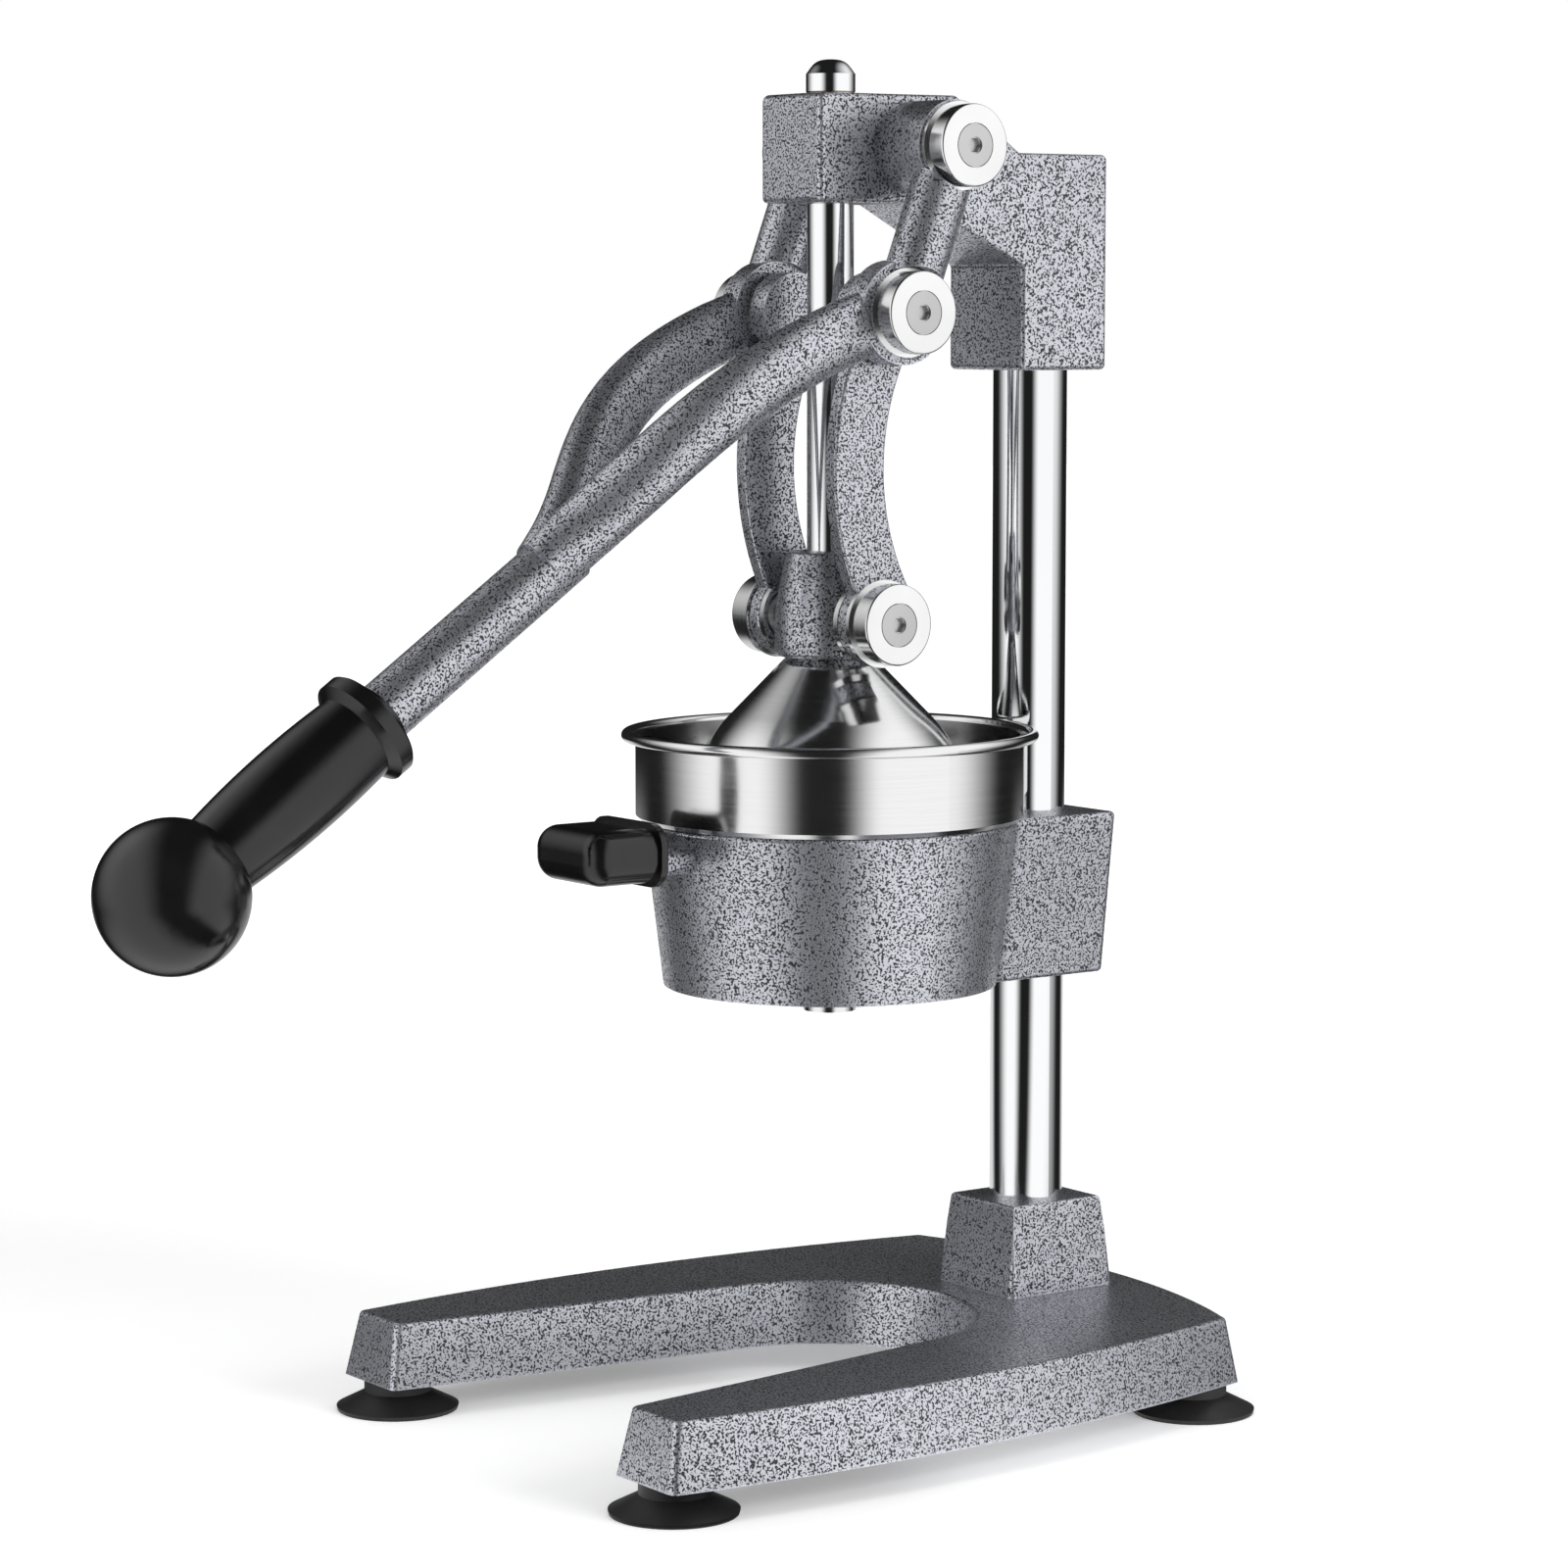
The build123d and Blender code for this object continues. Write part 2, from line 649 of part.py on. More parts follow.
# ---------------------------------------------------------------- links
for name, side in ends:
    with BuildPart() as link:
        # bowed bar between the eyes
        mid_z = (knee_z + ankle_z) / 2
        bow_y = (knee_y + ankle_y) / 2 - link_bow
        reach = (knee_z - ankle_z) / 2 - knee_eye_r / 2
        sweep_back = link_bow_r - math.sqrt(link_bow_r**2 - reach**2)
        with BuildSketch(Plane(origin=(side * link_in_x, 0, 0), x_dir=(0, 1, 0), z_dir=(1, 0, 0))):
            with BuildLine():
                ThreePointArc(
                    (bow_y + sweep_back, mid_z + reach), (bow_y, mid_z), (bow_y + sweep_back, mid_z - reach)
                )
                offset(amount=link_w / 2)
            make_face()
            with Locations((ankle_y, ankle_z)):
                Circle(ankle_eye_r)
        extrude(amount=side * (link_out_x - link_in_x))
        faces_of_bar = link.edges().group_by(Axis.X)
        fillet(faces_of_bar[0] + faces_of_bar[-1], link_edge_r)
        with BuildSketch(side_plane(side, knee_eye_in_x, knee_y, knee_z)):
            Circle(knee_eye_r)
        extrude(amount=link_out_x - knee_eye_in_x)
        with Locations(side_plane(side, link_out_x, knee_y, knee_z)):
            Hole(knee_bush_r, depth=link_out_x - knee_eye_in_x - knee_skin)
        with Locations(side_plane(side, link_out_x, ankle_y, ankle_z)):
            Hole(pin_d / 2, depth=link_out_x - link_in_x)
    finish(link, f"link_{name}")

# ---------------------------------------------------------------- lever fork
arm_mid_x = (arm_in_x + arm_out_x) / 2
with BuildPart() as fork:
    bar_dir = Vector(0, knee_y - pivot_y, knee_z - pivot_z)
    with BuildSketch(Plane(origin=(bar_mid_x, pivot_y, pivot_z), x_dir=(1, 0, 0), z_dir=bar_dir)):
        Circle(bar_r)
    extrude(amount=bar_dir.length)
    for y, z, boss_r in ((pivot_y, pivot_z, pivot_boss_r), (knee_y, knee_z, knee_boss_r)):
        with BuildSketch(side_plane(1, arm_in_x, y, z)):
            Circle(boss_r)
        extrude(amount=arm_out_x - arm_in_x)
    # arm: a loft that leaves the knee flat and turns rounder as it runs in to the handle
    centres = [
        Vector(spread * arm_mid_x, knee_y - ahead, knee_z - below)
        for ahead, below, spread, _, _ in arm_sections
    ]
    for i, (_, _, _, half_t, half_w) in enumerate(arm_sections):
        along = centres[min(i + 1, len(centres) - 1)] - centres[max(i - 1, 0)]
        across = Vector(0, -along.Z, along.Y)
        with BuildSketch(Plane(origin=centres[i], x_dir=across, z_dir=along)):
            Ellipse(half_w, half_t)
    loft()
    # room for the caps outside the bosses, and for the spacer and the ring inside them
    for y, z, boss_r in ((pivot_y, pivot_z, pivot_boss_r), (knee_y, knee_z, knee_boss_r)):
        with BuildSketch(side_plane(1, arm_out_x, y, z)):
            Circle(spot_r)
        extrude(amount=bar_mid_x, mode=Mode.SUBTRACT)
        with BuildSketch(side_plane(1, arm_in_x, y, z)):
            Circle(boss_r)
        extrude(amount=-bar_r, mode=Mode.SUBTRACT)
    mirror(about=Plane.YZ)
    # handle shaft and the thinner spigot inside the grip
    with BuildSketch(handle_plane(0)):
        Circle(handle_d / 2)
    extrude(amount=handle_visible)
    with BuildSketch(handle_plane(handle_visible)):
        Circle(spigot_d / 2)
    extrude(amount=spigot_len)
    with BuildSketch(Plane.YZ):
        with Locations((pivot_y, pivot_z)):
            Circle(bush_r)
        with Locations((knee_y, knee_z)):
            Circle(pin_d / 2)
    extrude(amount=arm_out_x + over, both=True, mode=Mode.SUBTRACT)
finish(fork, "lever_fork")

# ---------------------------------------------------------------- handle grip
grip_end = handle_origin + handle_dir * handle_visible
grip_plane = Plane(origin=grip_end, x_dir=(1, 0, 0), z_dir=Vector(1, 0, 0).cross(handle_dir))
neck_at = grip_ball_at - math.sqrt(grip_ball_r**2 - grip_neck_r**2)
lead_r = handle_d / 2 + grip_lead
collar_end = grip_nose + grip_collar_len
with BuildPart() as grip:
    with BuildSketch(grip_plane):
        with BuildLine():
            Polyline(
                (0, grip_ball_at + grip_ball_r), (0, spigot_len), (spigot_d / 2, spigot_len),
                (spigot_d / 2, 0), (lead_r, 0), (lead_r + grip_lead_round, grip_nose / 2),
                (grip_collar_r - grip_lead_round, grip_nose), (grip_collar_r, grip_nose + grip_lead_round),
                (grip_collar_r, collar_end - grip_step), (grip_body_r - grip_lead_round, collar_end),
            )
            Spline(
                (grip_body_r - grip_lead_round, collar_end), (grip_body_r, neck_at * grip_belly),
                (grip_neck_r, neck_at),
            )
            ThreePointArc(
                (grip_neck_r, neck_at), (grip_ball_r, grip_ball_at), (0, grip_ball_at + grip_ball_r)
            )
        make_face()
    revolve(axis=Axis(grip_plane.origin, handle_dir))
finish(grip, "handle_grip")

# ---------------------------------------------------------------- press rod, hub and cross pin
rod_top_z = head_top_z + end_cap_gap
nut_z = hub_under_z - cone_wall - nut_h
with BuildPart() as rod:
    with BuildSketch(Plane.XY.offset(hub_under_z)):
        Circle(rod_d / 2)
    extrude(amount=rod_top_z - hub_under_z)
    with BuildSketch(Plane.XY.offset(nut_z - over)):
        Circle(rod_spigot_d / 2)
    extrude(amount=rod_top_z + end_cap_cyl - nut_z + over)
    with BuildSketch(Plane.YZ):
        with Locations((ankle_y, ankle_z)):
            Circle(cross_pin_d / 2)
    extrude(amount=rod_d, both=True, mode=Mode.SUBTRACT)
finish(rod, "press_rod")

dome_foot_z = rod_top_z + end_cap_cyl
with BuildPart() as end_cap:
    with BuildSketch(Plane.XZ):
        with BuildLine():
            Polyline(
                (0, dome_foot_z + end_cap_dome), (0, dome_foot_z), (rod_spigot_d / 2, dome_foot_z),
                (rod_spigot_d / 2, rod_top_z),
                (end_cap_d / 2 - end_cap_edge, rod_top_z), (end_cap_d / 2, rod_top_z + end_cap_edge),
                (end_cap_d / 2, dome_foot_z),
            )
            Spline(
                (end_cap_d / 2, dome_foot_z),
                (end_cap_d * end_cap_crown[0], dome_foot_z + end_cap_dome * end_cap_crown[1]),
                (0, dome_foot_z + end_cap_dome),
                tangents=((-1, 1.3), (-1, 0)),
            )
        make_face()
    revolve(axis=Axis.Z)
finish(end_cap, "rod_end_cap")

with BuildPart() as hub:
    with BuildSketch(Plane.XZ):
        with BuildLine():
            Polyline(
                (hub_foot_r, hub_under_z + hub_foot_h), (hub_foot_r - hub_foot_draft, hub_under_z),
                (0, hub_under_z), (0, hub_top_z), (hub_top_r, hub_top_z),
            )
            ThreePointArc(
                (hub_top_r, hub_top_z), (hub_mid_r, hub_mid_z), (hub_foot_r, hub_under_z + hub_foot_h)
            )
        make_face()
    revolve(axis=Axis.Z)
    fillet(hub.edges().filter_by(GeomType.CIRCLE).group_by(Axis.Z)[-1], hub_edge_r)
    fillet(hub.edges().filter_by(GeomType.CIRCLE).group_by(Axis.Z)[0], hub_edge_r)
    for _, side in ends:
        with BuildSketch(side_plane(side, trunnion_seat, ankle_y, ankle_z)):
            Circle(trunnion_d / 2 + hole_play)
        extrude(amount=hub_foot_r, mode=Mode.SUBTRACT)
    with BuildSketch(Plane.YZ):
        with Locations((ankle_y, ankle_z)):
            Circle(cross_pin_d / 2)
    extrude(amount=hub_foot_r, both=True, mode=Mode.SUBTRACT)
    with Locations((0, 0, hub_top_z)):
        Hole(rod_d / 2)
    with Locations(Plane(origin=(0, hub_foot_r, hub_screw_z), z_dir=(0, 1, 0))):
        Hole(hub_screw_d / 2, depth=hub_foot_r)
finish(hub, "press_hub")

with BuildPart() as hub_screw:
    with BuildSketch(Plane(origin=(0, rod_d / 2, hub_screw_z), z_dir=(0, 1, 0))):
        Circle(hub_screw_d / 2)
    extrude(amount=hub_mid_r - hub_screw_sunk - rod_d / 2)
    with BuildSketch(Plane(origin=(0, hub_mid_r - hub_screw_sunk, hub_screw_z), z_dir=(0, 1, 0))):
        RegularPolygon(hub_screw_d / 4, 6, major_radius=False)
    extrude(amount=-hub_screw_hex_deep, mode=Mode.SUBTRACT)
finish(hub_screw, "hub_set_screw")

ankle_ring_x = link_in_x - ankle_ring_thk
pin_end_x = link_in_x - face_clear
with BuildPart() as cross_pin:
    with BuildSketch(Plane.YZ):
        with Locations((ankle_y, ankle_z)):
            Circle(cross_pin_d / 2)
    extrude(amount=pin_end_x, both=True)
finish(cross_pin, "hub_cross_pin")
for name, side in ends:
    finish(
        ring(side, trunnion_seat, ankle_ring_x, ankle_y, ankle_z, trunnion_d / 2, cross_pin_d / 2),
        f"trunnion_collar_{name}",
    )
    finish(
        ring(side, ankle_ring_x, pin_end_x, ankle_y, ankle_z, ankle_ring_r, cross_pin_d / 2),
        f"ankle_ring_{name}",
    )

# ---------------------------------------------------------------- press cone and its nut
with BuildPart() as cone:
    with BuildSketch(Plane.XZ):
        with BuildLine():
            Line((cone_top_r, hub_under_z), (cone_knee_r, cone_knee_z))
            Spline(
                (cone_knee_r, cone_knee_z), (cone_skirt_r, cone_skirt_z), (cone_rim_r, cone_rim_z),
                tangents=((cone_knee_r - cone_top_r, -cone_knee_drop), (cone_rim_lean, -1)),
            )
            Polyline((cone_rim_r, cone_rim_z), (0, cone_rim_z), (0, hub_under_z), (cone_top_r, hub_under_z))
        make_face()
    revolve(axis=Axis.Z)
    offset(amount=-cone_wall, openings=cone.faces().sort_by(Axis.Z)[0])
    with Locations((0, 0, hub_under_z)):
        Hole(rod_spigot_d / 2, depth=2 * cone_wall)
finish(cone, "press_cone")

with BuildPart() as nut:
    with BuildSketch(Plane.XY.offset(nut_z)):
        RegularPolygon(nut_af / 2, 6, major_radius=False)
        Circle(rod_spigot_d / 2, mode=Mode.SUBTRACT)
    extrude(amount=nut_h)
finish(nut, "cone_nut")


# ---------------------------------------------------------------- bowl holder
def bowl_inner_r(z):
    """Inside radius of the tapered bowl at a height."""
    share = (bowl_top_z - z) / (bowl_top_z - bowl_under_z)
    return bowl_top_r - (bowl_top_r - bowl_under_r) * share - bowl_wall


floor_z = bowl_under_z + bowl_floor
with BuildPart() as holder:
    # clamp block round the column, blended into the bowl and drafted like it
    for z, bowl_r, half in (
        (clamp_under_z, bowl_under_r - clamp_bury, clamp_under_half),
        (clamp_top_z, bowl_top_r - clamp_bury, clamp_top_half),
    ):
        with BuildSketch(Plane.XY.offset(z)) as plan:
            Circle(bowl_r)
            with Locations((0, (column_y + half) / 2)):
                Rectangle(2 * half, column_y + half)
            fillet(plan.vertices().group_by(Axis.Y)[0], clamp_blend_r)
            fillet(plan.vertices().group_by(Axis.Y)[-1], clamp_corner_r)
    loft()
    holder_levels = holder.faces().group_by(Axis.Z)
    level_faces = [holder_levels[0][0], holder_levels[-1][0]]
    fillet([e for face in level_faces for e in face.edges() if e.center().Y > clamp_step_y], clamp_edge_r)
    # below the bowl only the clamp block reaches down
    with BuildSketch(Plane.XY.offset(clamp_under_z)):
        Rectangle(3 * bowl_top_r, 3 * bowl_top_r)
        with Locations((0, clamp_step_y + bowl_top_r)):
            Rectangle(3 * clamp_top_half, 2 * bowl_top_r, mode=Mode.SUBTRACT)
    extrude(amount=bowl_under_z - clamp_under_z, mode=Mode.SUBTRACT)
    # the bowl itself
    with BuildSketch(Plane.XZ):
        with BuildLine():
            Polyline(
                (0, bowl_top_z), (bowl_top_r, bowl_top_z), (bowl_under_r, bowl_under_z), (0, bowl_under_z),
                close=True,
            )
        bowl_face = make_face()
        fillet(bowl_face.vertices().sort_by(Axis.X)[-1:], bowl_edge_r / 2)
        fillet(bowl_face.vertices().group_by(Axis.Y)[0].sort_by(Axis.X)[-1:], bowl_edge_r)
    revolve(axis=Axis.Z)
    # stub bar that carries the counter-hold grip
    with BuildSketch(front_plane(hold_rear_y, stub_mid_z)):
        RectangleRounded(2 * stub_half_x, stub_h, stub_round_r)
    extrude(amount=hold_rear_y + bowl_inner_r(stub_mid_z) + bowl_wall / 2)
    with BuildSketch(front_plane(hold_rear_y, stub_mid_z)):
        RectangleRounded(2 * tenon_half_x, 2 * tenon_half_z, tenon_round_r)
    extrude(amount=tenon_len)
    # inside of the bowl, spout hole, column bore and the holes of the clamp screws
    with BuildSketch(Plane.XZ):
        with BuildLine():
            Polyline(
                (0, bowl_top_z), (bowl_inner_r(bowl_top_z), bowl_top_z), (bowl_inner_r(floor_z), floor_z),
                (0, floor_z), close=True,
            )
        make_face()
    revolve(axis=Axis.Z, mode=Mode.SUBTRACT)
    with Locations((0, 0, floor_z)):
        Hole(spout_r + funnel_gap)
    with Locations((0, column_y, clamp_top_z)):
        Hole(column_d / 2)
    with Locations(
        *[Plane(origin=(0, column_y + clamp_top_half + over, z), z_dir=(0, 1, 0)) for z in clamp_screw_z]
    ):
        Hole(set_screw_d / 2, depth=clamp_top_half + over)
finish(holder, "bowl_holder")
finish(column_screws(clamp_screw_z), "clamp_set_screws")

with BuildPart() as hold_grip:
    with BuildSketch(front_plane(hold_rear_y, hold_mid_z)):
        RectangleRounded(2 * hold_half_x, hold_h, hold_corner_r)
    extrude(amount=hold_len)
    fillet(hold_grip.faces().sort_by(Axis.Y)[0].edges(), hold_nose_r)
    with BuildSketch(front_plane(hold_rear_y, hold_mid_z)):
        RectangleRounded(2 * (hold_half_x + hold_flange), hold_h + 2 * hold_flange, hold_corner_r)
    extrude(amount=hold_flange_thk)
    fillet(hold_grip.faces().sort_by(Axis.Y)[-1].edges(), hold_flange / 2)
    with BuildSketch(front_plane(hold_rear_y, stub_mid_z)):
        RectangleRounded(2 * tenon_half_x, 2 * tenon_half_z, tenon_round_r)
    extrude(amount=tenon_len, mode=Mode.SUBTRACT)
finish(hold_grip, "holder_grip")

# ---------------------------------------------------------------- juice funnel in the bowl
funnel_top_z = floor_z + funnel_h
with BuildPart() as funnel:
    with BuildSketch(Plane.XZ):
        with BuildLine():
            Polyline(
                (spout_r, bowl_under_z - spout_len), (spout_r, floor_z), (funnel_foot_r, floor_z),
                (bowl_inner_r(funnel_top_z) - funnel_gap, funnel_top_z),
                (bowl_inner_r(funnel_top_z) - funnel_gap - funnel_wall, funnel_top_z),
                (funnel_foot_r, floor_z + funnel_wall), (spout_r - spout_wall, floor_z + funnel_wall),
                (spout_r - spout_wall, bowl_under_z - spout_len), close=True,
            )
        make_face()
    revolve(axis=Axis.Z)
finish(funnel, "juice_funnel")

# ---------------------------------------------------------------- strainer cup
seat_top_r = bowl_inner_r(bowl_top_z) - cup_gap
seat_low_r = bowl_inner_r(cup_floor_z) - cup_gap
bead_x = cup_rim_r - cup_bead_r
with BuildPart() as cup:
    with BuildSketch(Plane.XZ):
        with BuildLine():
            Polyline(
                (cup_wall_r - cup_thk, cup_bead_z), (cup_wall_r - cup_thk, bowl_top_z + cup_thk),
                (seat_top_r - cup_thk, bowl_top_z + cup_thk),
                (seat_low_r - cup_thk, cup_floor_z + cup_thk),
                (cup_floor_hole_r, cup_floor_z + cup_thk), (cup_floor_hole_r, cup_floor_z),
                (seat_low_r, cup_floor_z), (seat_top_r, bowl_top_z),
                (cup_wall_r - cup_shoulder_r, bowl_top_z), (cup_wall_r, bowl_top_z + cup_shoulder_r),
                (cup_wall_r, cup_bead_z - cup_flare_drops[0] * cup_bead_r),
                (bead_x, cup_bead_z - cup_flare_drops[1] * cup_bead_r),
                (bead_x, cup_bead_z), close=True,
            )
        make_face()
        with Locations((bead_x, cup_bead_z)):
            Circle(cup_bead_r)
    revolve(axis=Axis.Z)
    with Locations((0, 0, cup_floor_z + cup_thk)):
        with PolarLocations(strain_ring_r, strain_count):
            Hole(strain_hole_r, depth=cup_thk)
finish(cup, "strainer_cup")

# ---------------------------------------------------------------- reamer
reamer_low_z = cup_floor_z + cup_thk
egg_shares = (1.0, 0.95, 0.75, 0.4, 0.12)


def egg_outline(grow):
    """Right half of the reamer's outline, grown outwards by this much: an egg with a flat crown."""
    wide = reamer_base_r + grow
    high = reamer_h + grow
    points = [(share * wide, reamer_low_z + high * math.sqrt(1 - share**2)) for share in egg_shares]
    with BuildLine() as outline:
        Spline(*points, tangents=((0, 1), (-1, 0)))
        Polyline(points[-1], (0, points[-1][1]), (0, reamer_low_z), points[0])
    return outline.edges()


lip_r = cup_floor_hole_r - cup_gap
with BuildPart() as reamer:
    with BuildSketch(Plane.XZ):
        make_face(egg_outline(0))
    revolve(axis=Axis.Z)
    # ribs, which stop short of the crown
    for i in range(reamer_ribs):
        with BuildSketch(Plane.XZ.rotated((0, 0, i * 360 / reamer_ribs))):
            make_face(egg_outline(rib_proud))
            make_face(egg_outline(-reamer_wall / 2), mode=Mode.SUBTRACT)
            Rectangle(2 * crown_r, 3 * reamer_low_z, mode=Mode.SUBTRACT)
        extrude(amount=rib_w / 2, both=True)
    with BuildSketch(Plane.XZ):
        make_face(egg_outline(-reamer_wall))
    revolve(axis=Axis.Z, mode=Mode.SUBTRACT)
    # slots between the ribs
    for i in range(reamer_ribs):
        with BuildSketch(Plane.XZ.rotated((0, 0, (i + 0.5) * 360 / reamer_ribs))):
            with Locations((reamer_base_r, reamer_low_z + (slot_low + slot_high) / 2)):
                Rectangle(reamer_base_r, slot_high - slot_low)
        extrude(amount=slot_w / 2, both=True, mode=Mode.SUBTRACT)
    # foot that stands on the cup's floor, with a lip that drops into the hole of the floor
    for outer_r, rise in ((reamer_foot_r, reamer_wall), (lip_r, -2 * cup_thk)):
        with BuildSketch(Plane.XY.offset(reamer_low_z)):
            Circle(outer_r)
            Circle(lip_r - reamer_wall, mode=Mode.SUBTRACT)
        extrude(amount=rise)
finish(reamer, "reamer_cone")
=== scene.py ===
# %% [markdown]
# # A lever citrus press in Blender
#
# The press stands on a counter: a horseshoe base, a chrome column, a cast head that guides the
# press rod, and a forked lever whose links push a polished cone down into a strainer cup.
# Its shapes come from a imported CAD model, which Blender takes as a fixed frame. This lesson gives
# the pieces their finishes, lights them like a small product studio and sets up the camera.
# Everything is in metres: +Z is up, the user stands at -Y, and the origin is on the counter,
# straight below the press rod.

# %% Load the frame
import bpy
import math
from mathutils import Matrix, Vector

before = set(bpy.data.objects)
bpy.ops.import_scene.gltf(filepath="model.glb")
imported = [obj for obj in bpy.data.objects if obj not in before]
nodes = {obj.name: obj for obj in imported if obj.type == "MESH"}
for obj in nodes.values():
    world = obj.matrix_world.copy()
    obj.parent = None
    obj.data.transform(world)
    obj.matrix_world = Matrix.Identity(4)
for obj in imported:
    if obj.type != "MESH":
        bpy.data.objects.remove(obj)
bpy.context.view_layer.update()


# %% [markdown]
# ## The camera
# A product picture is taken from a few metres away with a long lens, so that the press keeps
# its true proportions. An azimuth says how far the camera has walked round the press from the
# user's side, and a pitch how far it looks down. Turning those two angles into Blender's
# rotation keeps the numbers readable, which typing a matrix would not.

# %% Place the camera
CAMERA_AT = (1.06335, -0.78255, 0.32513)
CAMERA_AZIMUTH = 54.23
CAMERA_PITCH = 6.07
LENS_MM = 104.54

camera_data = bpy.data.cameras.new("studio_camera")
camera_data.sensor_width = 36.0
camera_data.lens = LENS_MM
camera_data.clip_start = 0.05
camera = bpy.data.objects.new("studio_camera", camera_data)
camera.location = CAMERA_AT
camera.rotation_euler = (math.radians(90 - CAMERA_PITCH), 0, math.radians(CAMERA_AZIMUTH))
bpy.context.scene.collection.objects.link(camera)
bpy.context.scene.camera = camera
bpy.context.scene.view_settings.view_transform = "Standard"
print("camera at", CAMERA_AT, "lens", LENS_MM, "mm")

# %% [markdown]
# ## Small helpers for shader nodes
# Every finish below is procedural: noise textures feed the colour, the roughness and
# the bump of one Principled shader. A few short helpers keep the node code readable. Constant
# values are set straight on the shader, and only what varies is linked.

# %% Node helpers


def new_material(name, **settings):
    """A material with one Principled shader; settings go straight on the shader's sockets."""
    material = bpy.data.materials.new(name)
    material.use_nodes = True
    shader = material.node_tree.nodes["Principled BSDF"]
    for socket, value in settings.items():
        shader.inputs[socket.replace("_", " ")].default_value = value
    return material, shader


def add_node(material, kind, **properties):
    """A node of this kind, with its properties set."""
    node = material.node_tree.nodes.new(kind)
    for name, value in properties.items():
        setattr(node, name, value)
    return node


def join(material, output, socket):
    """A link between two sockets."""
    material.node_tree.links.new(output, socket)


def grey(value):
    """A neutral colour."""
    return (value, value, value, 1)


def ramp(material, source, stops):
    """Colour ramp over a factor; stops are (place, colour)."""
    node = add_node(material, "ShaderNodeValToRGB")
    node.color_ramp.interpolation = "EASE"
    elements = node.color_ramp.elements
    while len(elements) < len(stops):
        elements.new(0.5)
    for element, (place, colour) in zip(elements, stops):
        element.position = place
        element.color = colour
    join(material, source, node.inputs["Fac"])
    return node.outputs["Color"]


def noise(material, scale, detail=2.0, roughness=0.5, distortion=0.0, vector=None):
    """Noise in object space, so that it stays on the piece when the piece moves."""
    node = add_node(material, "ShaderNodeTexNoise")
    node.inputs["Scale"].default_value = scale
    node.inputs["Detail"].default_value = detail
    node.inputs["Roughness"].default_value = roughness
    node.inputs["Distortion"].default_value = distortion
    if vector is None:
        vector = add_node(material, "ShaderNodeTexCoord").outputs["Object"]
    join(material, vector, node.inputs["Vector"])
    return node.outputs["Fac"]


def stretched(material, scale):
    """Object coordinates scaled by axis, for marks that run one way."""
    node = add_node(material, "ShaderNodeMapping")
    node.inputs["Scale"].default_value = scale
    join(material, add_node(material, "ShaderNodeTexCoord").outputs["Object"], node.inputs["Vector"])
    return node.outputs["Vector"]


def mix(material, factor, first, second, mode="MIX"):
    """Mix of two colours; each of the three may be a socket or a value."""
    node = add_node(material, "ShaderNodeMix", data_type="RGBA", blend_type=mode)
    for socket, value in ((node.inputs[0], factor), (node.inputs[6], first), (node.inputs[7], second)):
        if hasattr(value, "links"):
            join(material, value, socket)
        else:
            socket.default_value = value
    return node.outputs[2]


def bump(material, shader, height, depth):
    """Bump of a height field, depth in metres."""
    node = add_node(material, "ShaderNodeBump")
    node.inputs["Strength"].default_value = 1.0
    node.inputs["Distance"].default_value = depth
    join(material, height, node.inputs["Height"])
    join(material, node.outputs["Normal"], shader.inputs["Normal"])


def paint(material, *names):
    """Gives CAD nodes a material: it goes into their own slots."""
    for name in names:
        slots = nodes[name].data.materials
        if len(slots) == 0:
            slots.append(material)
        for i in range(len(slots)):
            slots[i] = material


def both(name):
    """The names of a left and right pair."""
    return [f"{name}_left", f"{name}_right"]


print("helpers ready")

# %% [markdown]
# ## Hammered enamel
# The castings wear hammered enamel: a silver paint that pulls back from hundreds of small dark
# pits while it dries, well under a millimetre apart, some of them run together into short
# worms; their dark colour is partly their own and partly painted shade for their depth. One
# octave of noise has bumps of a single size, so cutting it at a level gives just such a scatter,
# where noise with many octaves would give blotches of all sizes. Along the edges the paint runs
# thin and smooth, so a Bevel node compares the rounded normal with the real one, and where the two
# differ the pits fade out and the colour is lightened: a painted highlight. An Ambient Occlusion
# node finds tight corners between parts and darkens the paint there: painted shade.

# %% Hammered enamel
PIT_SCALE = 1600.0         # noise bumps per metre
PIT_CUT = (0.38, 0.50)     # noise levels between which a pit turns into paint
SPARKLE_SCALE = 2600.0     # grain of the metal flakes in the paint, per metre
BROAD_SCALE = 16.0         # slow changes of shade over a casting, per metre
EDGE_R = 0.0010            # how far in from an edge the paint runs thin and the painted highlight reaches
EDGE_HIGHLIGHT_GAIN = 1.25           # how much lighter the painted highlight makes the paint there
PIT_GLOSS_LOSS = 0.20      # how much rougher a pit is than the paint
SHADE_REACH = 0.010       # how far from a corner its painted shade begins
SHADE_TONE = 0.60         # how dark the painted shade makes the paint in the corner itself


def along_edges(material, radius):
    """1 on the flat parts of a piece, falling to 0 along its edges."""
    rounded = add_node(material, "ShaderNodeBevel", samples=4)
    rounded.inputs["Radius"].default_value = radius
    plain = add_node(material, "ShaderNodeNewGeometry")
    likeness = add_node(material, "ShaderNodeVectorMath", operation="DOT_PRODUCT")
    join(material, rounded.outputs["Normal"], likeness.inputs[0])
    join(material, plain.outputs["Normal"], likeness.inputs[1])
    return ramp(material, likeness.outputs["Value"], [(0.86, grey(0)), (0.985, grey(1))])


def painted_corner_shade(material, reach, darkest):
    """Painted shade: a tone that falls from 1 in the open to the darkest value in tight corners."""
    open_sky = add_node(material, "ShaderNodeAmbientOcclusion", samples=6)
    open_sky.inputs["Distance"].default_value = reach
    return ramp(material, open_sky.outputs["AO"], [(0.15, grey(darkest)), (0.80, grey(1.0))])


def tinted(value):
    """The cool grey of aluminium paint."""
    return (value * 0.95, value * 0.965, value * 1.05, 1)


